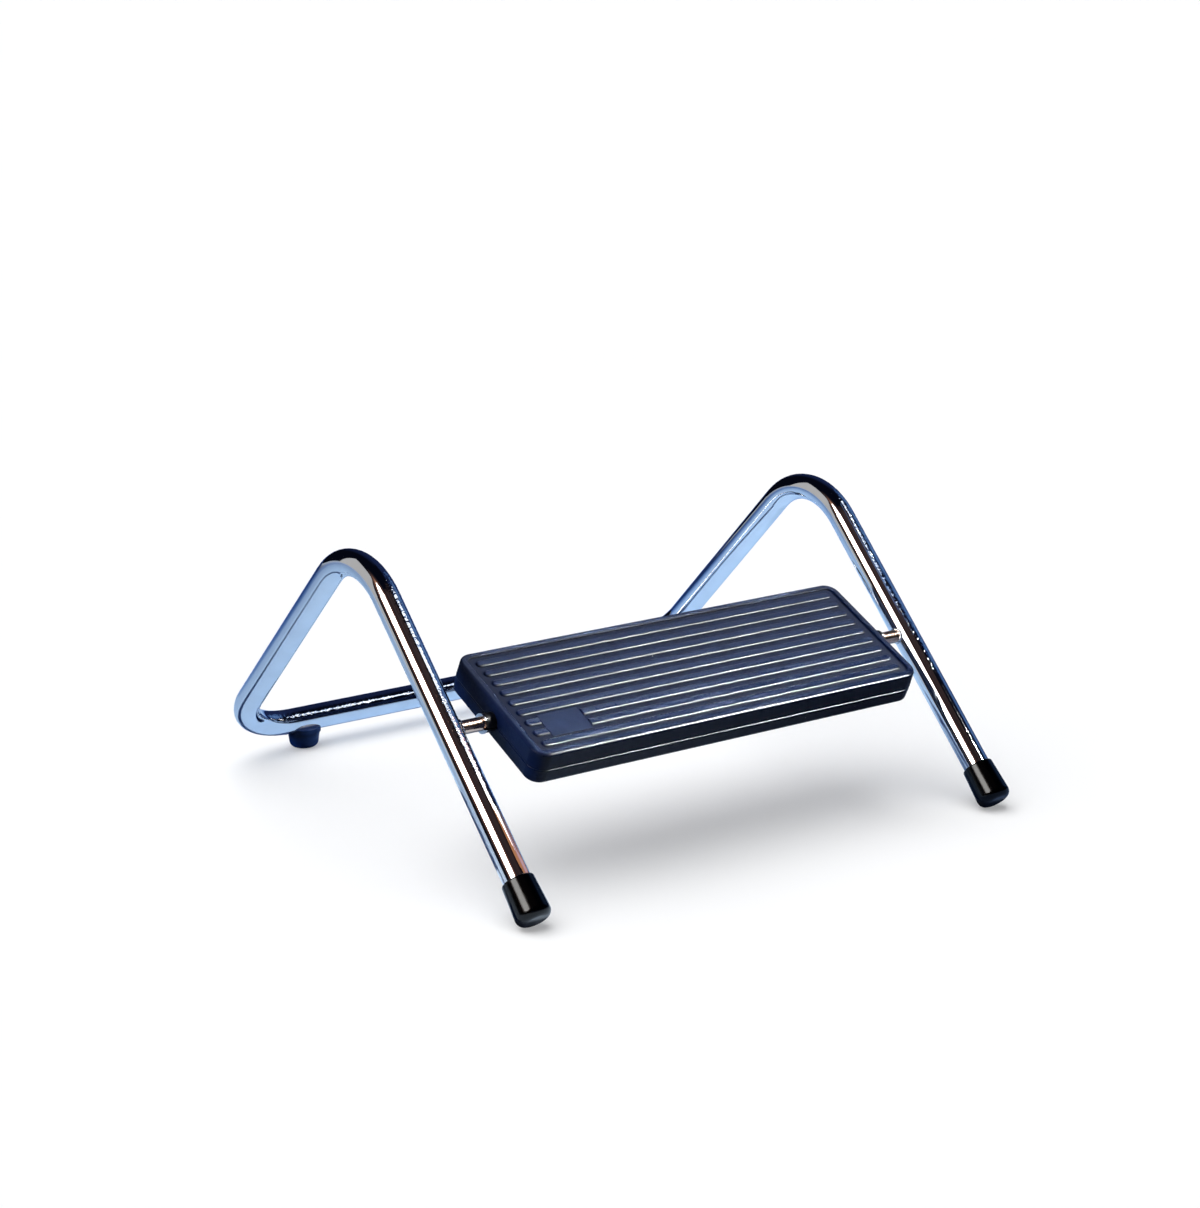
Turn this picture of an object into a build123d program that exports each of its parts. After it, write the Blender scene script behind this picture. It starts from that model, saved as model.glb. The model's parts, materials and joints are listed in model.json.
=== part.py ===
from build123d import *
import os
from math import atan2, cos, pi, radians, sin, tan

# Tilting footrest. Millimetres, degrees, +Z up, +Y to the rear, X from side to side.
# Lengths along Y are first measured from where the front leg's centre line meets the floor.

# Frame tube, one tube with four bends; the side gap runs from a platform end to a leg's centre line
TUBE_DIA = 16.0
TUBE_WALL = 1.5
SIDE_GAP = 28.5
LEG_SLOPE = 44.5
APEX_HEIGHT = 182.6
CROSSBAR_HEIGHT = 18.1
BEND_RADIUS = 46.0

# Front ferrules
FERRULE_LENGTH = 25.0
FERRULE_BASE = 5.0
FERRULE_END_DIA = 21.2
FERRULE_TOP_DIA = 18.8
FERRULE_EDGE_RADIUS = 4.5
FERRULE_SHOULDER_RADIUS = 1.2
FERRULE_FLAT_DEPTH = 0.4

# Rear feet, a bowl with a collar that hugs the crossbar; their room is measured from the corner bends
FOOT_ROOM = 8.5
FOOT_COLLAR_DIA = 21.8
FOOT_COLLAR_HEIGHT = 3.2
FOOT_COLLAR_RADIUS = 0.6
FOOT_BOWL_DIA = 20.6
FOOT_BASE_DIA = 17.6
FOOT_EDGE_RADIUS = 4.0
SADDLE_DROP = 4.7
PEG_DIA = 6.0
PEG_REACH = 3.0
PEG_CLEARANCE = 0.1

# Axle with its rings and stop pin
AXLE_DIA = 8.0
AXLE_HEIGHT = 89.4
GROOVE_DIA = 7.0
RING_DIA = 11.8
RING_THICKNESS = 1.0
RING_MOUTH = 5.4
RING_CLEARANCE = 0.05
RING_GAP = 0.4
STOP_PIN_DIA = 3.0
STOP_PIN_LENGTH = 14.6
STOP_PIN_CLEARANCE = 0.02

# Platform, with the parting line at the axle
PLATFORM_LENGTH = 275.0
PLATFORM_DEPTH = 93.0
TOP_HEIGHT = 11.4
BOTTOM_HEIGHT = 10.0
CORNER_RADIUS = 9.0
SHELL_DRAFT = 2.0
SHELL_WALL = 2.4
TOP_EDGE_RADIUS = 1.8
BOTTOM_EDGE_RADIUS = 3.0
PARTING_RADIUS = 0.6
REST_TILT = 24.0
TILT_LIMIT = 30.0

# Tread; gaps are to the rim, and the pad's middle is measured from the platform's left end and front
RIM_WIDTH = 4.6
TREAD_DEPTH = 1.3
RIB_COUNT = 9
RIB_SIDE_GAP = 3.2
RIB_WIDTH = 5.4
RIB_END_GAP = 4.4
RIB_EDGE_RADIUS = 1.1
PAD_LENGTH = 27.0
PAD_DEPTH = 19.0
PAD_HEIGHT = 0.5
PAD_END_INSET = 32.5
PAD_FRONT_INSET = 24.0
PAD_MARGIN = 0.8

# Bearings and inner webs; a bush's reach is what stands out of the platform's end
BUSH_DIA = 11.2
BUSH_LENGTH = 16.0
BUSH_REACH = 5.7
BUSH_EDGE_RADIUS = 0.5
BUSH_SLIT = 1.2
FLANGE_DIA = 14.4
FLANGE_THICKNESS = 2.0
FLANGE_INSET = 6.0
RUNNING_CLEARANCE = 0.05
SEAT_CLEARANCE = 0.05
BLOCK_WIDTH = 18.0
AXLE_ROOM = 1.0
WEB_THICKNESS = 2.0
WEB_SPACING = 56.0
WEB_PAIRS = 2
STOP_BLOCK_LENGTH = 8.0
STOP_CLEARANCE = 0.25

# Shell screws, measured in from the platform's outline
SCREW_END_INSET = 37.5
SCREW_SIDE_INSET = 15.5
SCREW_SHANK_DIA = 3.0
SCREW_LENGTH = 14.0
SCREW_HEAD_DIA = 6.0
SCREW_HEAD_HEIGHT = 2.0
SCREW_CLEARANCE = 0.2
BOSS_DIA = 8.0
HEAD_RECESS = 1.0

# Derived values
slope = radians(LEG_SLOPE)
tube_radius = TUBE_DIA / 2
axle_radius = AXLE_DIA / 2
half_length = PLATFORM_LENGTH / 2
half_depth = PLATFORM_DEPTH / 2
side_x = half_length + SIDE_GAP
foot_x = side_x - BEND_RADIUS - FOOT_ROOM
apex_y = APEX_HEIGHT / tan(slope)
rear_y = apex_y + (APEX_HEIGHT - CROSSBAR_HEIGHT) / tan(slope)
axle_y = AXLE_HEIGHT / tan(slope)
leg_up = Vector(0, cos(slope), sin(slope))
ferrule_taper = atan2(FERRULE_END_DIA / 2 - FERRULE_TOP_DIA / 2, FERRULE_LENGTH)
end_radius = FERRULE_END_DIA / 2 - FERRULE_EDGE_RADIUS / tan((pi / 2 - ferrule_taper) / 2)
ferrule_start = (
    (end_radius * cos(slope) + FERRULE_EDGE_RADIUS - FERRULE_FLAT_DEPTH) / sin(slope) - FERRULE_EDGE_RADIUS
)
tread_floor = TOP_HEIGHT - TREAD_DEPTH
top_inside = tread_floor - SHELL_WALL
bottom_inside = BOTTOM_HEIGHT - SHELL_WALL
bush_radius = BUSH_DIA / 2
bush_x = half_length + (BUSH_REACH - BUSH_LENGTH) / 2
flange_x = half_length - FLANGE_INSET - FLANGE_THICKNESS / 2
ring_x = half_length + BUSH_REACH + RING_GAP
rib_length = PLATFORM_LENGTH - 2 * (RIM_WIDTH + RIB_END_GAP)
rib_reach = half_depth - RIM_WIDTH - RIB_SIDE_GAP - RIB_WIDTH / 2
rib_pitch = 2 * rib_reach / (RIB_COUNT - 1)
pad_x = PAD_END_INSET - half_length
pad_v = PAD_FRONT_INSET - half_depth
screw_x = half_length - SCREW_END_INSET
screw_v = half_depth - SCREW_SIDE_INSET
screw_radius = SCREW_SHANK_DIA / 2
head_seat = BOTTOM_HEIGHT - HEAD_RECESS - SCREW_HEAD_HEIGHT
at_platform = Pos(0, axle_y, AXLE_HEIGHT) * Rot(REST_TILT, 0, 0)


def leg_point(x, distance):
    """Point on a front leg's centre line, measured up from the floor."""
    return Vector(x, 0, 0) + leg_up * distance


def x_rod(radius, length, x=0.0):
    """Round bar along X, centred at x on the axle's line."""
    return Pos(x, 0, 0) * Rot(0, 90, 0) * Cylinder(radius, length)


def frame_tube():
    """Bent tube from one front end round to the other, with the holes for the rear feet's pegs."""
    end = ferrule_start + FERRULE_BASE
    apex = Vector(-side_x, apex_y, APEX_HEIGHT)
    corner = Vector(-side_x, rear_y, CROSSBAR_HEIGHT)
    left = [leg_point(-side_x, end), apex, corner]
    right = [Vector(-point.X, point.Y, point.Z) for point in reversed(left)]
    path = FilletPolyline(*left, *right, radius=BEND_RADIUS)
    ring = Circle(tube_radius) - Circle(tube_radius - TUBE_WALL)
    tube = sweep(Plane(left[0], z_dir=leg_up) * ring, path=path)
    low = (Align.CENTER, Align.CENTER, Align.MIN)
    hole = Cylinder(PEG_DIA / 2 + PEG_CLEARANCE, CROSSBAR_HEIGHT, align=low)
    for side in (-1, 1):
        tube -= Pos(side * foot_x, rear_y, 0) * hole
    return tube


def front_ferrule(side):
    """Rubber cup over a tube end, tapered, with a small flat where it stands on the floor."""
    end = FERRULE_END_DIA / 2
    top = FERRULE_TOP_DIA / 2
    outline = Polyline(
        (0, 0), (end, 0), (top, FERRULE_LENGTH), (tube_radius, FERRULE_LENGTH),
        (tube_radius, FERRULE_BASE), (0, FERRULE_BASE), (0, 0),
    )
    section = make_face(outline)
    section = fillet(section.vertices().sort_by_distance((end, 0))[0], FERRULE_EDGE_RADIUS)
    shoulder = section.vertices().sort_by_distance((top, FERRULE_LENGTH))[0]
    section = fillet(shoulder, min(FERRULE_SHOULDER_RADIUS, 0.9 * (top - tube_radius)))
    cup = revolve(Plane.XZ * section, Axis.Z)
    cup = Plane(leg_point(side * side_x, ferrule_start), x_dir=(1, 0, 0), z_dir=leg_up) * cup
    below = Pos(side * side_x, 0, 0) * Box(
        4 * FERRULE_END_DIA, 4 * FERRULE_LENGTH, FERRULE_LENGTH, align=(Align.CENTER, Align.CENTER, Align.MAX)
    )
    return cup - below


def rear_foot(side):
    """Bowl whose collar hugs the crossbar, with a peg into the tube."""
    height = CROSSBAR_HEIGHT - SADDLE_DROP
    ledge = height - FOOT_COLLAR_HEIGHT
    base = FOOT_BASE_DIA / 2
    collar = FOOT_COLLAR_DIA / 2
    outline = Polyline(
        (0, 0), (base, 0), (FOOT_BOWL_DIA / 2, ledge), (collar, ledge), (collar, height), (0, height), (0, 0),
    )
    section = fillet(make_face(outline).vertices().sort_by_distance((base, 0))[0], FOOT_EDGE_RADIUS)
    section = fillet(section.vertices().sort_by_distance((collar, height))[0], FOOT_COLLAR_RADIUS)
    body = revolve(Plane.XZ * section, Axis.Z)
    body -= Pos(0, 0, CROSSBAR_HEIGHT) * x_rod(tube_radius, 2 * FOOT_COLLAR_DIA)
    peg_base = CROSSBAR_HEIGHT - tube_radius - FOOT_EDGE_RADIUS
    peg_height = FOOT_EDGE_RADIUS + TUBE_WALL + PEG_REACH
    body += Pos(0, 0, peg_base) * Cylinder(
        PEG_DIA / 2, peg_height, align=(Align.CENTER, Align.CENTER, Align.MIN)
    )
    return Pos(side * foot_x, rear_y, 0) * body


def axle():
    """Rod coped to the front legs, with two ring grooves and the stop pin's cross hole."""
    rod = x_rod(axle_radius, 2 * side_x)
    for side in (-1, 1):
        leg = Plane((side * side_x, 0, 0), z_dir=leg_up) * Cylinder(tube_radius, 4 * TUBE_DIA)
        rod -= leg
        groove = x_rod(AXLE_DIA, RING_THICKNESS + 2 * RING_CLEARANCE)
        groove -= x_rod(GROOVE_DIA / 2, 2 * RING_THICKNESS)
        rod -= Pos(side * (ring_x + RING_THICKNESS / 2), 0, 0) * groove
    rod -= Cylinder(STOP_PIN_DIA / 2 + STOP_PIN_CLEARANCE, 2 * AXLE_DIA)
    return Pos(0, axle_y, AXLE_HEIGHT) * rod


def snap_ring(side):
    """Open ring that springs into a groove of the axle, mouth to the front."""
    ring = x_rod(RING_DIA / 2, RING_THICKNESS) - x_rod(GROOVE_DIA / 2 + RING_CLEARANCE, 2 * RING_THICKNESS)
    ring -= Box(2 * RING_THICKNESS, RING_DIA, RING_MOUTH, align=(Align.CENTER, Align.MAX, Align.CENTER))
    return Pos(side * (ring_x + RING_THICKNESS / 2), axle_y, AXLE_HEIGHT) * ring


def stop_pin():
    """Upright cross pin through the axle with rounded ends."""
    pin = Cylinder(STOP_PIN_DIA / 2, STOP_PIN_LENGTH)
    pin = chamfer(pin.edges().filter_by(GeomType.CIRCLE), STOP_PIN_DIA / 6)
    return Pos(0, axle_y, AXLE_HEIGHT) * pin


def shell_body(height, edge_radius, inside):
    """Drafted tray with its open side on the parting line, before its inner webs."""
    outline = RectangleRounded(PLATFORM_LENGTH, PLATFORM_DEPTH, CORNER_RADIUS)
    body = extrude(outline, height, taper=SHELL_DRAFT)
    body = fillet(body.edges().group_by(Axis.Z)[-1], edge_radius)
    body = fillet(body.edges().group_by(Axis.Z)[0], PARTING_RADIUS)
    room = RectangleRounded(
        PLATFORM_LENGTH - 2 * SHELL_WALL, PLATFORM_DEPTH - 2 * SHELL_WALL, CORNER_RADIUS - SHELL_WALL
    )
    return body - extrude(room, inside, taper=SHELL_DRAFT)


def shell_webs(inside):
    """Bearing blocks at both ends, cross webs between them and the block that meets the stop pin."""
    low = (Align.CENTER, Align.CENTER, Align.MIN)
    room = PLATFORM_DEPTH - 2 * SHELL_WALL
    web = Box(WEB_THICKNESS, room, inside, align=low)
    block_length = BUSH_LENGTH - SHELL_WALL / 2
    block_x = half_length - BUSH_LENGTH + block_length / 2
    webs = Box(STOP_BLOCK_LENGTH, BLOCK_WIDTH, inside, align=low)
    for side in (-1, 1):
        webs += Pos(side * block_x, 0, 0) * Box(block_length, BLOCK_WIDTH, inside, align=low)
        for index in range(WEB_PAIRS):
            webs += Pos(side * (index + 0.5) * WEB_SPACING, 0, 0) * web
    return webs


def shell_cuts(depth):
    """Room for the axle, the bushes, their flanges and the swing of the stop pin."""
    cuts = x_rod(axle_radius + AXLE_ROOM, PLATFORM_LENGTH)
    for side in (-1, 1):
        groove = FLANGE_THICKNESS + 2 * SEAT_CLEARANCE
        cuts += x_rod(bush_radius + SEAT_CLEARANCE, BUSH_LENGTH + BUSH_REACH, side * bush_x)
        cuts += x_rod(FLANGE_DIA / 2 + SEAT_CLEARANCE, groove, side * flange_x)
    swing = radians(TILT_LIMIT)
    reach = STOP_PIN_DIA / 2 + STOP_CLEARANCE
    apex = -reach / sin(swing)
    spread = (depth - apex) * tan(swing)
    fan = make_face(Polyline((0, apex), (spread, depth), (-spread, depth), (0, apex)))
    fan = extrude(Plane.YZ * fan, STOP_BLOCK_LENGTH, both=True)
    return cuts + fan


def screw_places():
    """Places of the six shell screws."""
    return [
        Pos(column * screw_x, row * screw_v, 0)
        for column in (-1, 0, 1)
        for row in (-1, 1)
    ]


def tread():
    """Raised tread ribs with rounded ends and the bare pad that interrupts two of them."""
    ribs = []
    pad_window = Pos(pad_x, pad_v, tread_floor) * Box(
        PAD_LENGTH + 2 * PAD_MARGIN, PAD_DEPTH + 2 * PAD_MARGIN, 4 * TREAD_DEPTH
    )
    slot = SlotOverall(rib_length, RIB_WIDTH)
    for index in range(RIB_COUNT):
        v = index * rib_pitch - rib_reach
        rib = extrude(slot, TREAD_DEPTH)
        rib = fillet(rib.edges().group_by(Axis.Z)[-1], RIB_EDGE_RADIUS)
        rib = Pos(0, v, tread_floor) * rib
        ribs.append(rib - pad_window)
    pad = Pos(pad_x, pad_v, tread_floor) * Box(
        PAD_LENGTH, PAD_DEPTH, PAD_HEIGHT, align=(Align.CENTER, Align.CENTER, Align.MIN)
    )
    return ribs + [pad]


def platform_top():
    """Upper shell: recessed tread inside a rim, screw bosses and bearing halves below."""
    shell = shell_body(TOP_HEIGHT, TOP_EDGE_RADIUS, top_inside)
    recess = RectangleRounded(
        PLATFORM_LENGTH - 2 * RIM_WIDTH, PLATFORM_DEPTH - 2 * RIM_WIDTH, CORNER_RADIUS - RIM_WIDTH
    )
    shell -= Pos(0, 0, tread_floor) * extrude(recess, 2 * TREAD_DEPTH)
    for piece in tread():
        shell += piece
    shell += shell_webs(top_inside)
    shell -= shell_cuts(top_inside)
    boss = Cylinder(BOSS_DIA / 2, top_inside, align=(Align.CENTER, Align.CENTER, Align.MIN))
    pilot = Cylinder(screw_radius, top_inside, align=(Align.CENTER, Align.CENTER, Align.MIN))
    for place in screw_places():
        shell += place * boss
        shell -= place * pilot
    return at_platform * shell


def platform_bottom():
    """Lower shell: tray with bearing halves and counterbored screw bosses."""
    shell = shell_body(BOTTOM_HEIGHT, BOTTOM_EDGE_RADIUS, bottom_inside)
    shell += shell_webs(bottom_inside)
    shell -= shell_cuts(bottom_inside)
    low = (Align.CENTER, Align.CENTER, Align.MIN)
    boss = Cylinder(BOSS_DIA / 2 + SCREW_CLEARANCE, BOTTOM_HEIGHT, align=low)
    hole = Cylinder(screw_radius + SCREW_CLEARANCE, BOTTOM_HEIGHT, align=low)
    head = Cylinder(SCREW_HEAD_DIA / 2 + SCREW_CLEARANCE, BOTTOM_HEIGHT, align=low)
    for place in screw_places():
        shell += place * boss
        shell -= place * hole
        shell -= place * Pos(0, 0, head_seat) * head
    return at_platform * Rot(180, 0, 0) * shell


def axle_bush(side):
    """Slit bush that runs on the axle, held by a flange in the shells' grooves."""
    sleeve = x_rod(bush_radius, BUSH_LENGTH + BUSH_REACH, bush_x)
    sleeve = fillet(sleeve.edges().filter_by(GeomType.CIRCLE).sort_by(Axis.X)[-1], BUSH_EDGE_RADIUS)
    bush = sleeve + x_rod(FLANGE_DIA / 2, FLANGE_THICKNESS, flange_x)
    bush -= x_rod(axle_radius + RUNNING_CLEARANCE, 2 * side_x)
    bush -= Pos(bush_x, 0, 0) * Box(
        2 * BUSH_LENGTH, FLANGE_DIA, BUSH_SLIT, align=(Align.CENTER, Align.MAX, Align.CENTER)
    )
    if side < 0:
        bush = mirror(bush, Plane.YZ)
    return at_platform * bush


def shell_screws():
    """Six screws from below, their heads sunk in the lower shell."""
    low = (Align.CENTER, Align.CENTER, Align.MIN)
    head = Cylinder(SCREW_HEAD_DIA / 2, SCREW_HEAD_HEIGHT, align=low)
    head = Pos(0, 0, -head_seat - SCREW_HEAD_HEIGHT) * head
    shank = Pos(0, 0, -head_seat) * Cylinder(screw_radius, SCREW_LENGTH, align=low)
    screw = head + shank
    return [at_platform * place * screw for place in screw_places()]


nodes = {
    "frame_tube": [frame_tube()],
    "axle": [axle()],
    "front_ferrule_left": [front_ferrule(-1)],
    "front_ferrule_right": [front_ferrule(1)],
    "rear_foot_left": [rear_foot(-1)],
    "rear_foot_right": [rear_foot(1)],
    "snap_ring_left": [snap_ring(-1)],
    "snap_ring_right": [snap_ring(1)],
    "stop_pin": [stop_pin()],
    "platform_top": [platform_top()],
    "platform_bottom": [platform_bottom()],
    "axle_bush_left": [axle_bush(-1)],
    "axle_bush_right": [axle_bush(1)],
    "shell_screws": shell_screws(),
}

# The origin is on the floor, under the middle of the whole footrest
whole = Compound([solid for pieces in nodes.values() for piece in pieces for solid in piece.solids()])
box = whole.bounding_box()
centre = Pos(0, -(box.min.Y + box.max.Y) / 2, 0)
hinge = centre * Pos(0, axle_y, AXLE_HEIGHT)

os.makedirs("parts", exist_ok=True)
for name, pieces in nodes.items():
    solids = [centre * solid for piece in pieces for solid in piece.solids()]
    node = solids[0] if len(solids) == 1 else Compound(solids)
    node.label = name
    export_step(node, f"parts/{name}.step")
print("hinge line at", hinge.position, "tilt", REST_TILT, "limits", -TILT_LIMIT, TILT_LIMIT)
print("overall", box.size)
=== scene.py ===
import json
from math import cos, pi, radians, sin, sqrt, tan

import bmesh
import bpy
from mathutils import Matrix, Vector


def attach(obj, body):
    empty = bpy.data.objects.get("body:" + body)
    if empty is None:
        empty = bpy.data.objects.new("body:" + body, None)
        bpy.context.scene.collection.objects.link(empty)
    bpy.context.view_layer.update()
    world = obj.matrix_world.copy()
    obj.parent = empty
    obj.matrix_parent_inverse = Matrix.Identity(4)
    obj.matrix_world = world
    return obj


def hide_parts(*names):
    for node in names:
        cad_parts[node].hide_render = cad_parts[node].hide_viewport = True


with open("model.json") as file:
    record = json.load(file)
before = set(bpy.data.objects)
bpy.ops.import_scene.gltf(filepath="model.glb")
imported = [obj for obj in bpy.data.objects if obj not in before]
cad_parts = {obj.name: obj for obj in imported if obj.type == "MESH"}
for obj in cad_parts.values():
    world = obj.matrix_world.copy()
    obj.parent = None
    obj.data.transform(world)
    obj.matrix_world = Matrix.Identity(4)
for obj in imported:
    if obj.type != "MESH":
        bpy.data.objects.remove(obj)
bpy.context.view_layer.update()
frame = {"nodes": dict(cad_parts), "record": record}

SCENE = bpy.context.scene
MM = 0.001
UP = Vector((0, 0, 1))

# Camera, in the 1200 x 1208 frame
CAMERA_AZIMUTH = -35.114
CAMERA_ELEVATION = 15.389
CAMERA_ROLL = -0.104
CAMERA_PLACE = (-0.95258, -1.35524, 0.57067)
CAMERA_LENS = 84.58
SENSOR = 36.0

# Places shared with the solids, millimetres and degrees, the axle's place in metres
AXLE_PLACE = Vector(frame["record"]["behaviour"]["joints"][0]["pos_m"])
AXLE_RADIUS = 4.0
LEG_RADIUS = 8.0
LEG_X = 166.0
LEG_SLOPE = 44.5
LEG_FOOT = -181.965
REST_TILT = 24.0


def pointing(lon, lat):
    """Unit vector: lon 0 looks to the rear, 90 to the right, lat is above the floor."""
    a, e = radians(lon), radians(lat)
    return Vector((sin(a) * cos(e), cos(a) * cos(e), sin(e)))


def turned(right, back):
    """Rotation with X to the right and Z to the back."""
    return Matrix((right, back.cross(right), back)).transposed().to_4x4()


def make_camera():
    back = pointing(180 - CAMERA_AZIMUTH, CAMERA_ELEVATION)
    level = UP.cross(back).normalized()
    right = Matrix.Rotation(radians(CAMERA_ROLL), 3, back) @ level
    data = bpy.data.cameras.new("camera")
    data.lens = CAMERA_LENS
    data.sensor_width = SENSOR
    data.sensor_fit = "AUTO"
    camera = bpy.data.objects.new("camera", data)
    SCENE.collection.objects.link(camera)
    camera.matrix_world = Matrix.Translation(CAMERA_PLACE) @ turned(right, back)
    SCENE.camera = camera


# Node helpers

NOISE_RANGE = (0.3, 0.7)
MASK_RANGE = (0.0, 1.0)
MASK_SOFT = 0.0004
SPECK_CORE = 0.6
SPECK_FADE = 0.8
BEVEL_SAMPLES = 6


class Nodes:
    """Short ways to add nodes to a tree."""

    def __init__(self, tree):
        self.nodes = tree.nodes
        self.links = tree.links
        self.coordinates = self.nodes.new("ShaderNodeTexCoord").outputs

    def math(self, operation, *values):
        """Math node on sockets and plain numbers."""
        node = self.nodes.new("ShaderNodeMath")
        node.operation = operation
        for slot, value in zip(node.inputs, values):
            if isinstance(value, (int, float)):
                slot.default_value = value
            else:
                self.links.new(value, slot)
        return node.outputs["Value"]

    def times(self, first, *others):
        for other in others:
            first = self.math("MULTIPLY", first, other)
        return first

    def either(self, first, *others):
        for other in others:
            first = self.math("MAXIMUM", first, other)
        return first

    def without(self, mask):
        return self.math("SUBTRACT", 1.0, mask)

    def away_from(self, socket, place):
        return self.math("ABSOLUTE", self.math("SUBTRACT", socket, place))

    def spread(self, socket, to, over=NOISE_RANGE):
        """Value that runs from one number to another over a range of the socket."""
        node = self.nodes.new("ShaderNodeMapRange")
        node.inputs["From Min"].default_value = over[0]
        node.inputs["From Max"].default_value = over[1]
        node.inputs["To Min"].default_value = to[0]
        node.inputs["To Max"].default_value = to[1]
        self.links.new(socket, node.inputs["Value"])
        return node.outputs["Result"]

    def above(self, socket, edge, soft=MASK_SOFT):
        return self.spread(socket, to=(0.0, 1.0), over=(edge, edge + soft))

    def below(self, socket, edge, soft=MASK_SOFT):
        return self.spread(socket, to=(1.0, 0.0), over=(edge, edge + soft))

    def along(self, vector, direction):
        node = self.nodes.new("ShaderNodeVectorMath")
        node.operation = "DOT_PRODUCT"
        node.inputs[1].default_value = direction
        self.links.new(vector, node.inputs[0])
        return node.outputs["Value"]

    def split(self, vector):
        parts = self.nodes.new("ShaderNodeSeparateXYZ")
        self.links.new(vector, parts.inputs["Vector"])
        return parts.outputs["X"], parts.outputs["Y"], parts.outputs["Z"]

    def ramp(self, socket, *stops):
        """Colour by the socket's value, from pairs of value and colour."""
        node = self.nodes.new("ShaderNodeValToRGB")
        elements = node.color_ramp.elements
        while len(elements) < len(stops):
            elements.new(0.5)
        for element, (position, colour) in zip(elements, stops):
            element.position = position
            element.color = (*colour, 1.0)
        self.links.new(socket, node.inputs["Fac"])
        return node.outputs["Color"]


class Shader(Nodes):
    """A new material with a Principled shader."""

    def __init__(self, name):
        self.material = bpy.data.materials.new(name)
        self.material.use_nodes = True
        super().__init__(self.material.node_tree)
        self.principled = self.nodes["Principled BSDF"]
        self.place = self.coordinates["Object"]

    def set(self, **values):
        for name, value in values.items():
            self.principled.inputs[name.replace("_", " ")].default_value = value

    def feed(self, socket, name):
        self.links.new(socket, self.principled.inputs[name])

    def mapped(self, **settings):
        """The object's coordinates, moved, turned or stretched."""
        node = self.nodes.new("ShaderNodeMapping")
        for name, value in settings.items():
            node.inputs[name].default_value = value
        self.links.new(self.place, node.inputs["Vector"])
        return node.outputs["Vector"]

    def on_platform(self):
        """Places along the platform's length, depth and height, in metres from the axle."""
        turn = Matrix.Rotation(radians(-REST_TILT), 3, "X")
        moved = self.mapped(Rotation=(radians(-REST_TILT), 0, 0), Location=-(turn @ AXLE_PLACE))
        return self.split(moved)

    def noise(self, scale, detail=2.0, roughness=0.5, stretch=None):
        node = self.nodes.new("ShaderNodeTexNoise")
        node.inputs["Scale"].default_value = scale
        node.inputs["Detail"].default_value = detail
        node.inputs["Roughness"].default_value = roughness
        where = self.place if stretch is None else self.mapped(Scale=stretch)
        self.links.new(where, node.inputs["Vector"])
        return node.outputs["Fac"]

    def mottled(self, tones, scale, detail):
        """Patchy colour between two tones."""
        return self.ramp(self.noise(scale, detail), *zip(NOISE_RANGE, tones))

    def specks(self, scale, share, size):
        """Mask of sparse round specks: share of the cells that hold one, size within a cell."""
        node = self.nodes.new("ShaderNodeTexVoronoi")
        node.inputs["Scale"].default_value = scale
        self.links.new(self.place, node.inputs["Vector"])
        dot = self.spread(node.outputs["Distance"], to=(1.0, 0.0), over=(SPECK_CORE * size, size))
        chosen = (1.0 - share, 1.0 - SPECK_FADE * share)
        return self.times(dot, self.spread(node.outputs["Color"], to=(0.0, 1.0), over=chosen))

    def mixed(self, factor, first, second):
        """Colour between two, each a socket or a plain colour."""
        node = self.nodes.new("ShaderNodeMix")
        node.data_type = "RGBA"
        colours = [socket for socket in node.inputs if socket.type == "RGBA"]
        self.links.new(factor, node.inputs[0])
        for socket, source in zip(colours, (first, second)):
            if isinstance(source, tuple):
                socket.default_value = (*source, 1.0)
            else:
                self.links.new(source, socket)
        return next(socket for socket in node.outputs if socket.type == "RGBA")

    def rounded(self, radius):
        """Normals that round the edges off."""
        node = self.nodes.new("ShaderNodeBevel")
        node.samples = BEVEL_SAMPLES
        node.inputs["Radius"].default_value = radius
        return node.outputs["Normal"]

    def bump(self, height, depth, onto=None):
        node = self.nodes.new("ShaderNodeBump")
        node.inputs["Distance"].default_value = depth
        self.links.new(height, node.inputs["Height"])
        if onto is not None:
            self.links.new(onto, node.inputs["Normal"])
        return node.outputs["Normal"]


# Materials: a pair of tones is the darker and the lighter patches

CHROME_TONES = ((0.85, 0.86, 0.88), (0.93, 0.94, 0.95))
FERRULE_TONES = ((0.0015, 0.002, 0.005), (0.003, 0.005, 0.010))
FOOT_TONES = ((0.004, 0.014, 0.060), (0.009, 0.026, 0.100))
PLASTIC_TONES = ((0.0020, 0.0056, 0.0230), (0.0038, 0.0095, 0.0360))
BUSH_TONES = ((0.004, 0.004, 0.006), (0.008, 0.008, 0.011))
RUBBER_DUST = (0.10, 0.11, 0.13)
PLASTIC_DUST = (0.30, 0.31, 0.34)
# Lighter tone for the rib front edges: a painted highlight.
PLASTIC_EDGE_HIGHLIGHT = (0.030, 0.032, 0.040)
RING_TONE = (0.80, 0.81, 0.83)
PIN_TONE = (0.55, 0.56, 0.58)
SCREW_TONE = (0.60, 0.62, 0.66)
# The axle's copper tint is a painted warm reflection on a plain steel rod.
AXLE_TONE_PAINTED_WARM_REFLECTION = (0.86, 0.62, 0.49)
STEEL_SHADE = 0.8
STEEL_HAZE = 0.12

# Where the chrome's peel shows: the way it faces, and ranges of facing, height and depth in metres
PEEL_FACING = (0.20, -0.70, 0.69)
PEEL_BAND = (0.88, 0.95)
PEEL_LEG_HEIGHT = (0.058, 0.085)
PEEL_CROSSBAR = (0.13, 0.15)
PEEL_PATCHES = (0.38, 0.62)
PEEL_DEPTH = 0.00045
SCUFF_HEIGHT = (0.0045, 0.0085)


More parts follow.
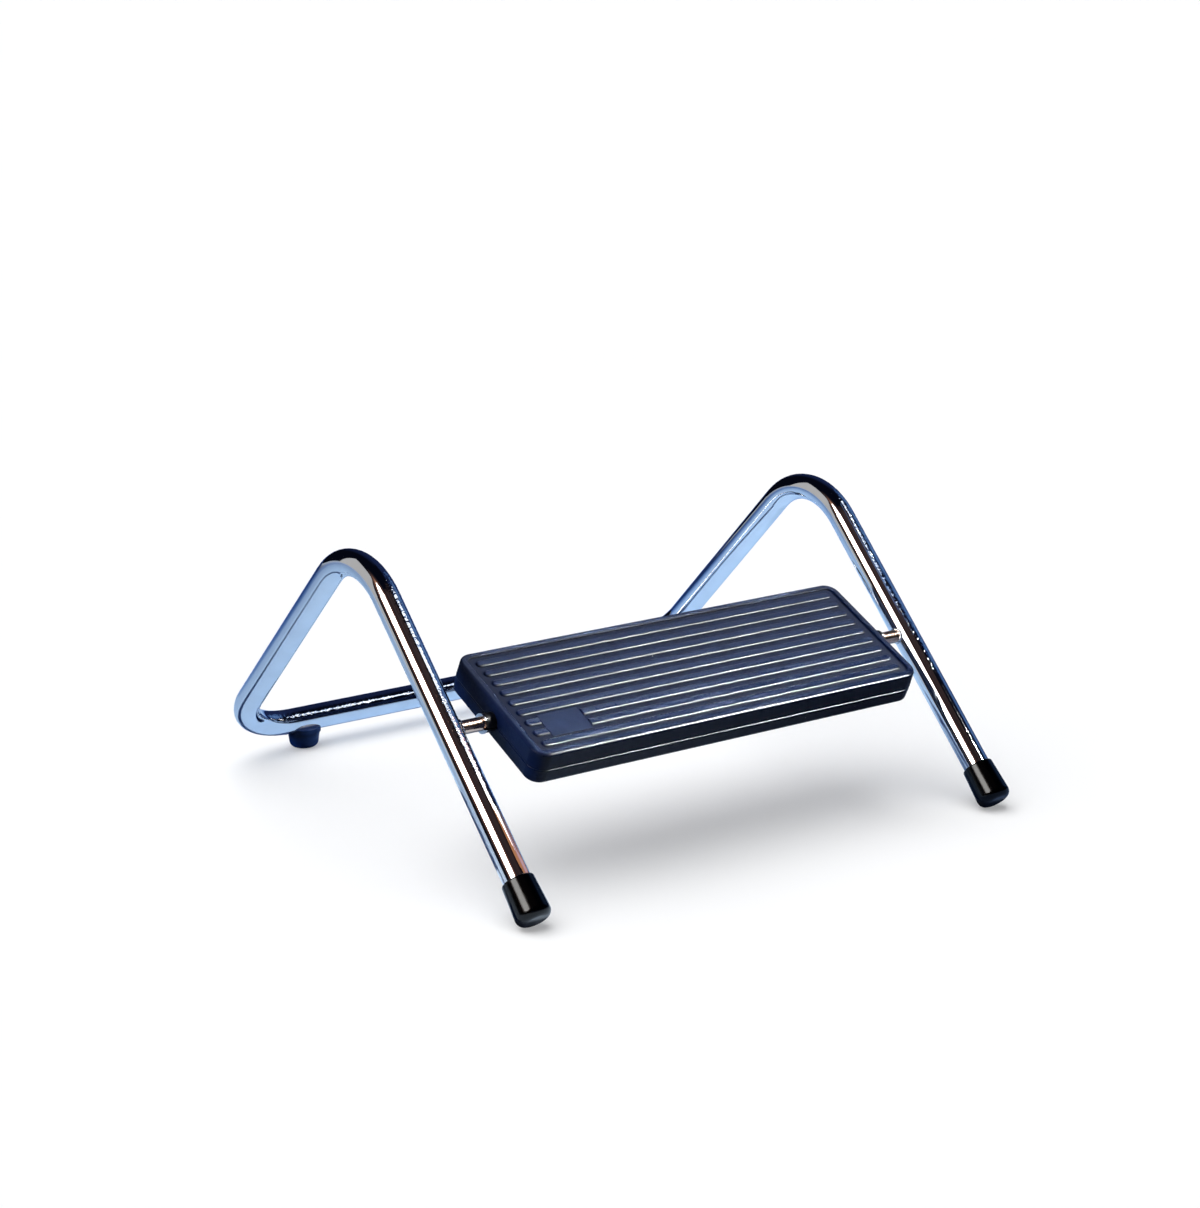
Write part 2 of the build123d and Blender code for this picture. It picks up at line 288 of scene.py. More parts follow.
def chrome_material():
    """Bright plate, with a coarser peel along the upper front of the legs and the crossbar."""
    s = Shader("chrome_plate")
    s.set(Metallic=1.0, IOR=2.5)
    s.feed(s.mottled(CHROME_TONES, scale=60.0, detail=3.0), "Base Color")
    s.feed(s.spread(s.noise(scale=180.0, detail=4.0), to=(0.02, 0.055)), "Roughness")
    depth, height = s.split(s.place)[1:]
    band = s.spread(s.along(s.coordinates["Normal"], PEEL_FACING), to=(0.0, 1.0), over=PEEL_BAND)
    upper_leg = s.spread(height, to=(0.08, 1.0), over=PEEL_LEG_HEIGHT)
    crossbar = s.spread(depth, to=(0.0, 0.7), over=PEEL_CROSSBAR)
    patches = s.spread(s.noise(scale=24.0, detail=3.0), to=(0.25, 1.2), over=PEEL_PATCHES)
    where = s.times(band, s.either(upper_leg, crossbar), patches)
    peel = s.bump(s.times(s.noise(scale=380.0), where), depth=PEEL_DEPTH)
    s.feed(s.bump(s.noise(scale=70.0, detail=1.0), depth=0.00005, onto=peel), "Normal")
    return s.material


def rubber_material(name, tones, roughness, specular):
    """Moulded rubber with a little dust, scuffed where it meets the floor."""
    s = Shader(name)
    s.set(IOR=1.5, Specular_IOR_Level=specular)
    skin = s.mottled(tones, scale=220.0, detail=3.0)
    dust = s.specks(scale=420.0, share=0.05, size=0.10)
    s.feed(s.mixed(dust, skin, RUBBER_DUST), "Base Color")
    height = s.split(s.place)[2]
    scuffed = s.spread(height, to=(0.8, 0.0), over=SCUFF_HEIGHT)
    smooth = s.spread(s.noise(scale=500.0, detail=3.0), to=roughness)
    s.feed(s.either(smooth, scuffed), "Roughness")
    soft = s.bump(s.noise(scale=120.0, detail=1.0), depth=0.00008)
    s.feed(s.bump(s.noise(scale=2400.0), depth=0.00001, onto=soft), "Normal")
    return s.material


# Places on the platform along its length, depth and height, in metres from the axle
RIB_PITCH = 0.009
RIB_HALF = 0.0027
RIB_TOP = 0.0108
RIB_REACH = 0.1285
RIB_END = 0.002
RIB_EDGE = (0.0007, 0.0012)
RIB_CROWN = (0.0012, 0.0052)
TREAD_FLOOR = 0.0101
TREAD_REACH = (0.1332, 0.0422)
PAD_PLACE = (-0.105, -0.0225)
PAD_REACH = (0.0135, 0.0095)
PARTING_EDGE = (0.0007, 0.0010)
RIM_FRONT = -0.0444
RIM_END = 0.1354
RIM_HEIGHT = (0.0094, 0.0100)
RIM_INSIDE = (0.0004, 0.0008)
FRONT_RIM = (-0.0424, -0.0416)
WEAR_DEPTH = (-0.040, 0.030)
EDGE_ROUNDING = 0.0004

# How much the edges, rib tops and pad are polished, and factors on the roughness
RIB_EDGE_SHINE = 1.3
RIM_END_SHINE = 0.5
RIM_INSIDE_SHINE = 0.8
FRONT_RIM_SHINE = 0.45
RIB_TOP_SHINE = (0.48, 0.28)
PAD_SHINE = 0.18
EDGE_POLISH = (1.0, 0.35)
GROOVE_MATT = (1.0, 2.1)
STREAKS = (0.88, 1.12)
STREAK_STRETCH = (40.0, 500.0, 500.0)
WEAR = (0.72, 1.45)
SATIN = (0.46, 0.56)


def pad_mask(s, length, depth):
    sides = zip((length, depth), PAD_PLACE, PAD_REACH)
    return s.times(*(s.below(s.away_from(socket, place), size - MASK_SOFT) for socket, place, size in sides))


def rim_mask(s, reach, depth, height, high):
    """The parting line, the rim's outer and inner edges and the top of its front."""
    parting = s.spread(s.math("ABSOLUTE", height), to=(1.0, 0.0), over=PARTING_EDGE)
    front = s.below(depth, RIM_FRONT - MASK_SOFT, 2 * MASK_SOFT)
    end = s.times(s.above(reach, RIM_END - MASK_SOFT, 2 * MASK_SOFT), RIM_END_SHINE)
    outer = s.times(s.either(front, end), s.spread(height, to=(0.0, 1.0), over=RIM_HEIGHT))
    sides = zip((reach, s.math("ABSOLUTE", depth)), TREAD_REACH)
    near = (s.away_from(socket, place) for socket, place in sides)
    inner = s.either(*(s.spread(socket, to=(RIM_INSIDE_SHINE, 0.0), over=RIM_INSIDE) for socket in near))
    front_top = s.spread(depth, to=(FRONT_RIM_SHINE, 0.0), over=FRONT_RIM)
    return s.either(parting, outer, s.times(high, s.either(inner, front_top)))


def platform_material():
    """Satin moulded plastic, matt in the grooves and polished along the ribs and edges, with a painted
    highlight in the colour of the rib front edges.
    """
    s = Shader("moulded_plastic")
    s.set(IOR=1.5, Specular_IOR_Level=0.09)
    length, depth, height = s.on_platform()
    reach = s.math("ABSOLUTE", length)
    high = s.above(height, RIB_TOP)
    ribs = s.times(high, s.below(reach, RIB_REACH - RIB_END, RIB_END))
    across = s.math("FLOORED_MODULO", s.math("ADD", depth, RIB_HALF), RIB_PITCH)
    rib_edge = s.times(s.spread(across, to=(1.0, 0.0), over=RIB_EDGE), ribs)
    pad = pad_mask(s, length, depth)
    inside = s.times(s.below(s.math("ABSOLUTE", depth), TREAD_REACH[1]), s.below(reach, TREAD_REACH[0]))
    low = s.without(s.either(high, pad))
    grooves = s.times(inside, low, s.above(height, TREAD_FLOOR - MASK_SOFT))
    edges = s.either(s.times(rib_edge, RIB_EDGE_SHINE), rim_mask(s, reach, depth, height, high))

    skin = s.mottled(PLASTIC_TONES, scale=90.0, detail=4.0)
    dust = s.specks(scale=160.0, share=0.16, size=0.060)
    # Base colour: mottled skin, a painted highlight along the rib front edges, and dust specks.
    s.feed(s.mixed(dust, s.mixed(rib_edge, skin, PLASTIC_EDGE_HIGHLIGHT), PLASTIC_DUST), "Base Color")

    satin = s.spread(s.noise(scale=700.0, detail=3.0), to=SATIN)
    matt = s.times(satin, s.spread(grooves, to=GROOVE_MATT, over=MASK_RANGE))
    polish = s.spread(edges, to=EDGE_POLISH, over=(0.0, RIB_EDGE_SHINE))
    tops = s.times(ribs, s.spread(across, to=RIB_TOP_SHINE, over=RIB_CROWN))
    used = s.without(s.either(tops, s.times(pad, PAD_SHINE)))
    streaks = s.spread(s.noise(scale=1.0, detail=4.0, roughness=0.6, stretch=STREAK_STRETCH), to=STREAKS)
    wear = s.spread(depth, to=WEAR, over=WEAR_DEPTH)
    s.feed(s.times(matt, polish, used, streaks, wear), "Roughness")

    grain = s.bump(s.noise(scale=1500.0), depth=0.00005, onto=s.rounded(EDGE_ROUNDING))
    s.feed(s.bump(s.noise(scale=160.0), depth=0.00012, onto=grain), "Normal")
    return s.material


def steel_material(name, tone, rough):
    s = Shader(name)
    s.set(Metallic=1.0)
    shade = tuple(STEEL_SHADE * c for c in tone)
    s.feed(s.mottled((shade, tone), scale=400.0, detail=3.0), "Base Color")
    s.feed(s.spread(s.noise(scale=900.0, detail=3.0), to=(rough, rough + STEEL_HAZE)), "Roughness")
    s.feed(s.bump(s.noise(scale=1600.0), depth=0.00001), "Normal")
    return s.material


def bush_material():
    s = Shader("bush_nylon")
    s.set(IOR=1.5, Specular_IOR_Level=0.3)
    s.feed(s.mottled(BUSH_TONES, scale=300.0, detail=2.0), "Base Color")
    s.feed(s.spread(s.noise(scale=900.0), to=(0.35, 0.5)), "Roughness")
    s.feed(s.bump(s.noise(scale=1200.0), depth=0.00002), "Normal")
    return s.material


def dress():
    """Put the materials on the solids; returns them by slot for the added pieces."""
    slots = {
        "chrome": chrome_material(),
        "platform_plastic": platform_material(),
        "bush_plastic": bush_material(),
        "ring_steel": steel_material("ring_spring_steel", RING_TONE, rough=0.10),
        "pin_steel": steel_material("pin_ground_steel", PIN_TONE, rough=0.25),
        "screw_steel": steel_material("screw_zinc", SCREW_TONE, rough=0.22),
    }
    ferrule = rubber_material("ferrule_rubber", FERRULE_TONES, roughness=(0.12, 0.20), specular=0.36)
    foot = rubber_material("foot_rubber", FOOT_TONES, roughness=(0.30, 0.42), specular=0.12)
    special = {
        # The axle's copper tone is a painted warm reflection.
        "axle": steel_material("axle_rod_painted_warm_reflection", AXLE_TONE_PAINTED_WARM_REFLECTION, rough=0.12),
        "front_ferrule_left": ferrule,
        "front_ferrule_right": ferrule,
        "rear_foot_left": foot,
        "rear_foot_right": foot,
    }
    for part in frame["record"]["subparts"]:
        material = special.get(part["node"]) or slots[part["material_slot"]]
        for slot in frame["nodes"][part["node"]].material_slots:
            slot.material = material
    return slots


# Added pieces

def new_piece(name, mesh, body, material):
    mesh.materials.append(material)
    obj = bpy.data.objects.new(name, mesh)
    SCENE.collection.objects.link(obj)
    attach(obj, body)
    return obj


# Weld beads, in millimetres
WELD_RADIUS = 1.1
WELD_RIPPLES = 26
WELD_RIPPLE_DEPTH = 0.12
WELD_STEPS = 208
WELD_SIDES = 14
TANGENT_STEP = 0.01


def weld(side, material):
    """Rippled bead along the curve where the axle's coped end meets the leg."""
    slope = radians(LEG_SLOPE)

    def centre(phi):
        across = AXLE_RADIUS * sin(phi - slope)
        x = LEG_X - sqrt(LEG_RADIUS ** 2 - across ** 2)
        return Vector((side * x, AXLE_RADIUS * cos(phi), AXLE_RADIUS * sin(phi)))

    bm = bmesh.new()
    rings = []
    for step in range(WELD_STEPS):
        phi = 2 * pi * step / WELD_STEPS
        middle = centre(phi)
        along = (centre(phi + TANGENT_STEP) - centre(phi - TANGENT_STEP)).normalized()
        out = Vector((0, cos(phi), sin(phi)))
        other = along.cross(out).normalized()
        out = other.cross(along)
        wave = abs(sin(WELD_RIPPLES * phi / 2))
        radius = WELD_RADIUS * (1 - WELD_RIPPLE_DEPTH + WELD_RIPPLE_DEPTH * wave)
        ring = []
        for k in range(WELD_SIDES):
            turn = 2 * pi * k / WELD_SIDES
            point = middle + radius * (cos(turn) * out + sin(turn) * other)
            ring.append(bm.verts.new(AXLE_PLACE + point * MM))
        rings.append(ring)
    for a, b in zip(rings, rings[1:] + rings[:1]):
        bridge(bm, a, b, True)
    bmesh.ops.recalc_face_normals(bm, faces=bm.faces)
    name = "axle_weld_left" if side < 0 else "axle_weld_right"
    mesh = bpy.data.meshes.new(name)
    bm.to_mesh(mesh)
    bm.free()
    return new_piece(name, mesh, "frame", material)


def bridge(bm, a, b, smooth):
    """Faces between two closed rings of points."""
    for k in range(len(a)):
        j = (k + 1) % len(a)
        bm.faces.new((a[k], a[j], b[j], b[k])).smooth = smooth


# Shell screws, in millimetres along the screw: the head's face is at 0 and the shank runs up
SCREW_COLUMNS = (-100.0, 0.0, 100.0)
SCREW_ROWS = (-31.0, 31.0)
SCREW_FACE = -9.0
COLUMN_SPIN = 23
ROW_SPIN = 41
HEAD_RADIUS = 3.0
HEAD_HEIGHT = 2.0
HEAD_ROUNDING = ((0.75, 0.0), (0.42, 0.08), (0.15, 0.30), (0.0, 0.70))
HEAD_CHAMFER = 0.1
SHANK_RADIUS = 1.5
SHANK_LENGTH = 14.0
THREAD_PITCH = 1.25
THREAD_DEPTH = 0.24
THREAD_START = 0.8
THREAD_RUN_IN = 0.3
THREAD_END = 1.5
THREAD_CREST = (0.42, 0.55)
POINT_LENGTH = 1.2
POINT_RADIUS = 0.45
CROSS_LENGTH = 1.75
CROSS_WIDTH = 0.38
CROSS_DEPTH = 1.2
CROSS_TAPER = 0.55
CROSS_NARROWING = 0.8
TURN_STEPS = 32


def cross_outline(length, width, z):
    points = []
    for quarter in range(4):
        turn = Matrix.Rotation(quarter * pi / 2, 3, "Z")
        for x, y in ((width, width), (width, length), (-width, length)):
            points.append(turn @ Vector((x, y, z)))
    return points


def thread_levels():
    """Radius and height of each ring along the shank, up to the blunt point."""
    core = SHANK_RADIUS - THREAD_DEPTH
    start = HEAD_HEIGHT + THREAD_START
    end = HEAD_HEIGHT + SHANK_LENGTH
    levels = [(core, start - THREAD_RUN_IN)]
    for index in range(int((end - THREAD_END - start) / THREAD_PITCH)):
        z = start + index * THREAD_PITCH
        levels.append((core, z))
        levels += [(SHANK_RADIUS, z + share * THREAD_PITCH) for share in THREAD_CREST]
    return levels + [(core, end - POINT_LENGTH), (POINT_RADIUS, end)]


def screw_mesh():
    """Pan head with a cross recess and a threaded shank with a blunt point."""
    bm = bmesh.new()

    def ring(radius, z):
        turns = [2 * pi * k / TURN_STEPS for k in range(TURN_STEPS)]
        return [bm.verts.new((radius * cos(turn), radius * sin(turn), z)) for turn in turns]

    def loop_edges(verts):
        pairs = zip(verts, verts[1:] + verts[:1])
        return [bm.edges.get(pair) or bm.edges.new(pair) for pair in pairs]

    rings = [ring(HEAD_RADIUS - inset, z) for inset, z in HEAD_ROUNDING]
    rings.append(ring(HEAD_RADIUS, HEAD_HEIGHT - HEAD_CHAMFER))
    rings.append(ring(HEAD_RADIUS - HEAD_CHAMFER, HEAD_HEIGHT))
    rings.append(ring(SHANK_RADIUS, HEAD_HEIGHT))
    for a, b in zip(rings, rings[1:]):
        bridge(bm, a, b, True)
    mouth_outline = cross_outline(CROSS_LENGTH, CROSS_WIDTH, 0.0)
    floor_outline = cross_outline(CROSS_LENGTH * CROSS_TAPER, CROSS_WIDTH * CROSS_NARROWING, CROSS_DEPTH)
    mouth = [bm.verts.new(point) for point in mouth_outline]
    floor = [bm.verts.new(point) for point in floor_outline]
    bmesh.ops.triangle_fill(bm, edges=loop_edges(rings[0]) + loop_edges(mouth), use_beauty=True)
    bridge(bm, mouth, floor, False)
    bm.faces.new(floor)
    last = rings[-1]
    for radius, z in thread_levels():
        following = ring(radius, z)
        bridge(bm, last, following, True)
        last = following
    bm.faces.new(last)
    bmesh.ops.recalc_face_normals(bm, faces=bm.faces)
    return bm


def shell_screws(material):
    tilt = Matrix.Rotation(radians(REST_TILT), 4, "X")
    on_platform = Matrix.Translation(AXLE_PLACE) @ tilt @ Matrix.Scale(MM, 4)
    mesh = bpy.data.meshes.new("shell_screws_cross_head")
    whole = bmesh.new()
    for column, x in enumerate(SCREW_COLUMNS):
        for row, y in enumerate(SCREW_ROWS):
            bm = screw_mesh()
            spin = Matrix.Rotation(radians(COLUMN_SPIN * column + ROW_SPIN * row), 4, "Z")
            place = on_platform @ Matrix.Translation((x, y, SCREW_FACE)) @ spin
            bmesh.ops.transform(bm, matrix=place, verts=bm.verts)
            one = bpy.data.meshes.new("one_screw")
            bm.to_mesh(one)
            bm.free()
            whole.from_mesh(one)
            bpy.data.meshes.remove(one)
    whole.to_mesh(mesh)
    whole.free()
    screws = new_piece("shell_screws_cross_head", mesh, "platform", material)
    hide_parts("shell_screws")


# Stage: floor, backdrop and lights, in metres and degrees

FLOOR_REACH = 14.0
FLOOR_HEIGHT = -0.0002
MIRROR_FLOOR_HEIGHT = -0.0003
WALL_RADIUS = 13.0
WALL_HEIGHT = 9.0
WALL_SIDES = 96
CARD_STEPS = 12
STAGE_CENTRE = Vector((0, 0, 0.08))
KEY_FROM = (131, 46)
FLOOR_SUN_FROM = (-60, 70)
WORLD_GLOW_FROM = (62, 20)
FILL_COLOUR = (0.5, 0.75, 1.0)
FLOOR_TONES = ((0.93, 0.935, 0.94), (0.945, 0.95, 0.955))

# The blue floor that only mirrors see, with painted light on it (a painted falloff, a painted shadow and a
# painted glow): directions, ranges along them and colours
PAINTED_FALLOFF_ALONG = (0.5, 1.0, 0.0)
PAINTED_FALLOFF_RANGE = (-0.5, 1.5)
BLUE_PAPER_AND_FALLOFF_STOPS = (
    (0.02, (0.90, 0.98, 1.0)),
    (0.22, (0.46, 0.65, 0.87)),
    (0.38, (0.39, 0.58, 0.83)),
    (0.48, (0.20, 0.35, 0.66)),
    (0.62, (0.11, 0.23, 0.54)),
    (0.80, (0.05, 0.14, 0.42)),
    (1.0, (0.01, 0.03, 0.12)),
)
# Painted shadow: the blue floor turns dark towards the front right, where a shadow fell.
PAINTED_SHADOW_ALONG = (0.6, -0.8, 0.0)
PAINTED_SHADOW_RANGE = (0.08, 0.20)
PAINTED_SHADOW_COLOUR = (0.02, 0.035, 0.08)
# Painted glow: the blue floor emits a dim blue everywhere and a grey light towards the left, standing in for
# light.
PAINTED_GLOW_RANGE = (-1.0, -0.4)
PAINTED_GLOW_STOPS = ((0.0, (0.013, 0.026, 0.09)), (1.0, (0.30, 0.35, 0.43)))


def stage_object(name, mesh):
    obj = bpy.data.objects.new(name, mesh)
    SCENE.collection.objects.link(obj)
    return obj


def plane(name, width, height):
    """Flat sheet round the origin, with the coordinates that a glow needs."""
    x, y = width / 2, height / 2
    mesh = bpy.data.meshes.new(name)
    mesh.from_pydata([(-x, -y, 0), (x, -y, 0), (x, y, 0), (-x, y, 0)], [], [(0, 1, 2, 3)])
    across = mesh.uv_layers.new(name="across")
    for place, uv in zip(across.uv, ((0, 0), (1, 0), (1, 1), (0, 1))):
        place.vector = uv
    return stage_object(name, mesh)


def ring_wall(name):
    bm = bmesh.new()
    bmesh.ops.create_cone(
        bm,
        cap_ends=False,
        segments=WALL_SIDES,
        radius1=WALL_RADIUS,
        radius2=WALL_RADIUS,
        depth=2 * WALL_HEIGHT,
    )
    mesh = bpy.data.meshes.new(name)
    bm.to_mesh(mesh)
    bm.free()
    return stage_object(name, mesh)


def seen_only_by(obj, camera=False, glossy=False):
    obj.visible_camera = camera
    obj.visible_glossy = glossy
    obj.visible_diffuse = False
    obj.visible_shadow = False
    obj.visible_transmission = False


def floor_paper():
    s = Shader("floor_paper")
    s.set(Roughness=0.9, Specular_IOR_Level=0.0)
    s.feed(s.mottled(FLOOR_TONES, scale=3.0, detail=2.0), "Base Color")
    return s.material


def blue_paper_with_painted_light():
    """Blue sheet under the object, with painted light: a painted falloff, palest at the front left and deep
    blue towards the rear, a painted shadow at the front right and a painted glow that is brightest at the
    left.
    """
    s = Shader("blue_paper_with_painted_light")
    s.set(Roughness=0.9, Specular_IOR_Level=0.0, Emission_Strength=1.0)
    # Blue paper colour with a painted falloff of light: palest at the front left, deep blue towards the
    # rear.
    reach = s.spread(s.along(s.place, PAINTED_FALLOFF_ALONG), to=(0.0, 1.0), over=PAINTED_FALLOFF_RANGE)
    # Painted shadow mixed into the floor colour towards the front right.
    shade = s.spread(s.along(s.place, PAINTED_SHADOW_ALONG), to=(0.0, 0.85), over=PAINTED_SHADOW_RANGE)
    s.feed(s.mixed(shade, s.ramp(reach, *BLUE_PAPER_AND_FALLOFF_STOPS), PAINTED_SHADOW_COLOUR), "Base Color")
    # Painted glow: emission on the floor, brightest at the left.
    left = s.spread(s.split(s.place)[0], to=(1.0, 0.0), over=PAINTED_GLOW_RANGE)
    s.feed(s.ramp(left, *PAINTED_GLOW_STOPS), "Emission Color")
    return s.material


def glow(name, strength, stops):
    """Emission whose colour runs from the middle (0) to the rim (0.5)."""
    s = Shader(name)
    s.nodes.remove(s.principled)
    x, y = s.split(s.coordinates["UV"])[:2]
    rim = s.either(s.away_from(x, 0.5), s.away_from(y, 0.5))
    emission = s.nodes.new("ShaderNodeEmission")
    emission.inputs["Strength"].default_value = strength
    s.links.new(s.ramp(rim, *stops), emission.inputs["Color"])
    s.links.new(emission.outputs["Emission"], s.nodes["Material Output"].inputs["Surface"])
    return s.material


def card(name, source, angles, away, strength, stops):
    """A soft box that faces the object and that only mirrors see; its size is two angles."""
    width, height = (2 * away * sin(radians(angle / 2)) for angle in angles)
    obj = plane(name, width, height)
    back = pointing(*source)
    side = UP.cross(back).normalized()
    obj.matrix_world = Matrix.Translation(STAGE_CENTRE + back * away) @ turned(side, back)
    obj.data.materials.append(glow(name, strength, stops))
    seen_only_by(obj, glossy=True)


def in_leg(height, angle, away):
    """Point some way off that the left leg mirrors at this height and angle round its front."""
    slope, turn = radians(LEG_SLOPE), radians(angle)
    normal = Vector((sin(turn), -sin(slope) * cos(turn), cos(slope) * cos(turn)))
    middle = Vector((-LEG_X * MM, LEG_FOOT * MM + height / tan(slope), height))
    place = middle + normal * LEG_RADIUS * MM
    ray = (place - Vector(CAMERA_PLACE)).normalized()
    return place + ray.reflect(normal) * away


def card_in_leg(name, low, high, away, strength, stops):
    """A bent card given by where the left leg mirrors it: (height, left angle, right angle)."""
    points, uvs, faces = [], [], []
    for row in range(CARD_STEPS + 1):
        up = row / CARD_STEPS
        height, left, right = (a + (b - a) * up for a, b in zip(low, high))
        for column in range(CARD_STEPS + 1):
            along = column / CARD_STEPS
            points.append(in_leg(height, left + (right - left) * along, away))
            uvs.append((along, up))
    for row in range(CARD_STEPS):
        for column in range(CARD_STEPS):
            k = row * (CARD_STEPS + 1) + column
            faces.append((k, k + 1, k + CARD_STEPS + 2, k + CARD_STEPS + 1))
    mesh = bpy.data.meshes.new(name)
    mesh.from_pydata(points, [], faces)
    across = mesh.uv_layers.new(name="across")
    for loop, place in zip(mesh.loops, across.uv):
        place.vector = uvs[loop.vertex_index]
    mesh.materials.append(glow(name, strength, stops))
    obj = stage_object(name, mesh)
    seen_only_by(obj, glossy=True)
    return obj


def new_lamp(name, kind, energy, **settings):
    data = bpy.data.lights.new(name, kind)
    data.energy = energy
    for key, value in settings.items():
        setattr(data, key, value)
    obj = bpy.data.objects.new(name, data)
    SCENE.collection.objects.link(obj)
    return obj


def light(name, kind, source, energy, away=2.0, **settings):
    """A lamp that faces the object from a direction."""
    obj = new_lamp(name, kind, energy, **settings)
    back = pointing(*source)
    obj.location = STAGE_CENTRE + back * away
    obj.rotation_mode = "QUATERNION"
    obj.rotation_quaternion = back.to_track_quat("Z", "Y")
    return obj


def lamp_in_leg(name, low, high, energy, width, colour, away=0.12):
    """A small lamp that the left leg mirrors as a streak between two (height, angle) points."""
    middle = [(a + b) / 2 for a, b in zip(low, high)]
    centre = in_leg(*middle, away)
    back = (centre - in_leg(*middle, 0.0)).normalized()
    along = in_leg(*high, away) - in_leg(*low, away)
    along -= along.dot(back) * back
    obj = new_lamp(
        name, "AREA", energy, color=colour, shape="RECTANGLE", size=along.length, size_y=width
    )
    obj.matrix_world = Matrix.Translation(centre) @ turned(along.normalized(), back)
    obj.visible_camera = False
    return obj


def link(lamp, state, *objects):
    """The lamp lights only these objects (INCLUDE) or all but these (EXCLUDE)."""
    group = bpy.data.collections.new(lamp.name + "_" + state.lower())
    for obj in objects:
        group.objects.link(obj)
    lamp.light_linking.receiver_collection = group
    for entry in group.collection_objects:
        entry.light_linking.link_state = state


def make_world():
    """Dark studio with a navy glow low on the right."""
    world = bpy.data.worlds.new("studio")
    SCENE.world = world
    world.use_nodes = True
    tree = Nodes(world.node_tree)
    towards = tree.along(tree.coordinates["Generated"], pointing(*WORLD_GLOW_FROM))
    colour = tree.ramp(towards, (0.70, (0.0016, 0.0022, 0.0060)), (0.96, (0.010, 0.018, 0.065)))
    background = tree.nodes["Background"]
    background.inputs["Strength"].default_value = 1.0
    tree.links.new(colour, background.inputs["Color"])


def make_floor():
    """The pale floor and backdrop that the camera sees, and the blue floor for mirrors."""
    floor = plane("floor", FLOOR_REACH * 2, FLOOR_REACH * 2)
    floor.location.z = FLOOR_HEIGHT
    floor.data.materials.append(floor_paper())
    seen_only_by(floor, camera=True)
    mirror_floor = plane("floor_in_mirrors", FLOOR_REACH * 2, FLOOR_REACH * 2)
    mirror_floor.location.z = MIRROR_FLOOR_HEIGHT
    mirror_floor.data.materials.append(blue_paper_with_painted_light())
    seen_only_by(mirror_floor, glossy=True)
    wall = ring_wall("backdrop")
    pale = ((0.0, (0.90, 0.91, 0.92)), (0.5, (0.93, 0.94, 0.95)))
    wall.data.materials.append(glow("backdrop_paper", 1.0, pale))
    seen_only_by(wall, camera=True)
    return floor, mirror_floor


def make_lamps(floor, mirror_floor, tube, shells, ferrules):
    sun = {"away": 3.0, "angle": radians(80)}
    floor_shade = light("floor_shade", "SUN", FLOOR_SUN_FROM, energy=0.26, **sun)
    floor_fill = light("floor_fill", "SUN", FLOOR_SUN_FROM, energy=3.34, use_shadow=False, **sun)
    for lamp in (floor_shade, floor_fill):
        lamp.visible_glossy = False
        link(lamp, "INCLUDE", floor)
    key = light(
        "key_light", "AREA", KEY_FROM, energy=58.0, shape="DISK", size=0.06, color=(1.0, 0.985, 0.96)
    )
    link(key, "EXCLUDE", floor, tube, *ferrules)
    sparkle = light("tube_sparkle", "AREA", KEY_FROM, energy=1.2, shape="DISK", size=0.05)
    link(sparkle, "INCLUDE", tube)
    soft = light(
        "soft_light", "AREA", (-30, 75), energy=3.0, shape="DISK", size=1.2, color=(0.75, 0.87, 1.0)
    )
    soft.visible_glossy = False
    link(soft, "EXCLUDE", floor, mirror_floor)
    sheen = light(
        "tread_sheen", "AREA", (62, 54), energy=22.0, away=1.8,
        shape="RECTANGLE", size=1.1, size_y=0.40, color=(0.42, 0.56, 1.0),
    )
    edge = light(
        "edge_light", "AREA", (142, 20), energy=470.0, shape="DISK", size=0.55, color=(0.88, 0.94, 1.0)
    )
    for lamp in (sheen, edge):
        link(lamp, "INCLUDE", *shells)
        lamp.visible_diffuse = False
        lamp.data.cycles.use_multiple_importance_sampling = False
    fills = (
        ("left_fill", (-80, 20), 44.0),
        ("rear_fill", (10, 12), 20.0),
        ("low_fill", (20, -50), 22.0),
    )
    for name, source, energy in fills:
        fill = light(name, "AREA", source, energy=energy, shape="DISK", size=0.8, color=FILL_COLOUR)
        fill.visible_glossy = False
        link(fill, "EXCLUDE", floor, mirror_floor, *ferrules)


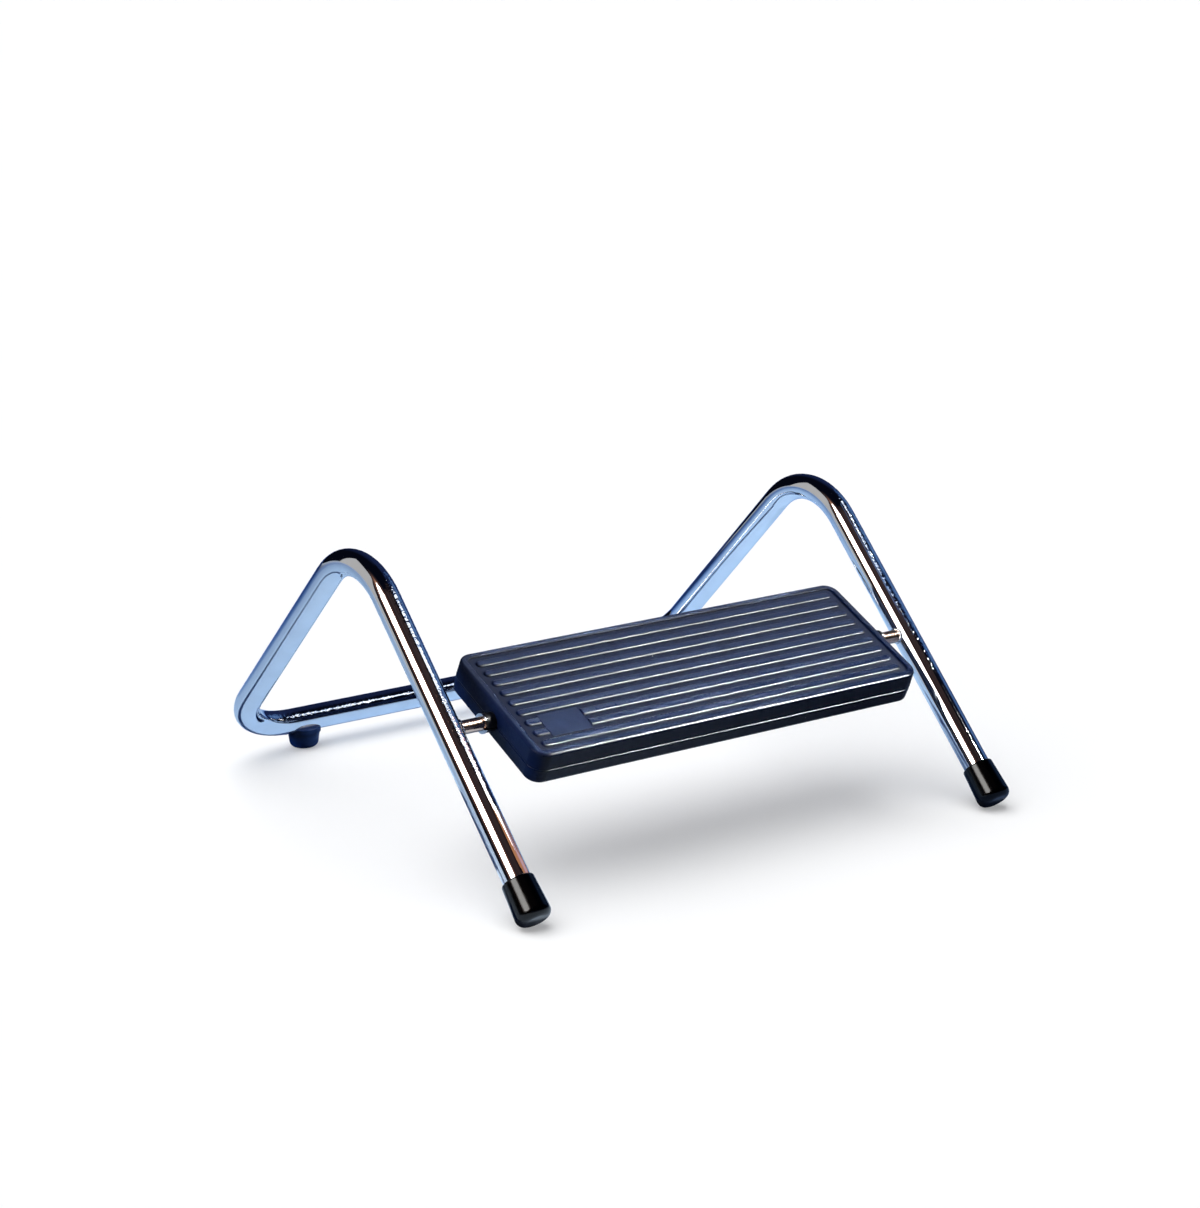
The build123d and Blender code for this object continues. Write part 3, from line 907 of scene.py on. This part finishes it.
def make_reflections(tube, ferrules):
    """Cards and small lamps that the chrome mirrors."""
    white = (1.0, 0.98, 0.95)
    left_stops = (
        (0.0, white),
        (0.205, white),
        (0.225, (0.070, 0.036, 0.020)),
        (0.28, (0.020, 0.0095, 0.0065)),
        (0.38, (0.0030, 0.0018, 0.0020)),
        (0.5, (0.0015, 0.001, 0.0012)),
    )
    panel_stops = ((0.0, (0.92, 0.90, 0.88)), (0.5, (0.86, 0.86, 0.88)))
    strip_stops = (
        (0.0, (0.97, 0.98, 1.0)),
        (0.30, (0.85, 0.92, 1.0)),
        (0.40, (0.16, 0.28, 0.55)),
        (0.5, (0.03, 0.06, 0.16)),
    )
    blue_stops = ((0.0, (0.10, 0.20, 0.42)), (0.5, (0.03, 0.07, 0.20)))
    brown_stops = ((0.0, (0.048, 0.032, 0.034)), (0.5, (0.02, 0.012, 0.012)))
    card("left_box", (-102, 37), angles=(70, 60), away=2.2, strength=10.0, stops=left_stops)
    card("left_panel", (-50, 20), angles=(37, 50), away=2.2, strength=0.5, stops=panel_stops)
    strip = card_in_leg(
        "right_strip", (0.062, 0, 15), (0.165, 3, 14), away=0.7, strength=1.4, stops=strip_stops
    )
    link(strip, "EXCLUDE", *ferrules)
    glint = lamp_in_leg("leg_glint", (0.046, 17), (0.074, 5), energy=0.020, width=0.050, colour=white)
    copper = lamp_in_leg(
        "leg_copper", (0.012, 32), (0.066, 6), energy=0.018, width=0.100, colour=(1.0, 0.43, 0.19)
    )
    for lamp in (glint, copper):
        link(lamp, "INCLUDE", tube)
    card("right_blue", (80, 21), angles=(36, 32), away=3.0, strength=1.0, stops=blue_stops)
    card("front_brown", (-172, 66), angles=(44, 18), away=2.8, strength=1.0, stops=brown_stops)


def make_stage():
    nodes = frame["nodes"]
    tube = nodes["frame_tube"]
    shells = (nodes["platform_top"], nodes["platform_bottom"])
    ferrules = (nodes["front_ferrule_left"], nodes["front_ferrule_right"])
    floor, mirror_floor = make_floor()
    make_lamps(floor, mirror_floor, tube, shells, ferrules)
    make_reflections(tube, ferrules)
    make_world()


make_camera()
by_slot = dress()
weld(-1, by_slot["chrome"])
weld(1, by_slot["chrome"])
shell_screws(by_slot["screw_steel"])
make_stage()
SCENE.view_settings.view_transform = "Standard"
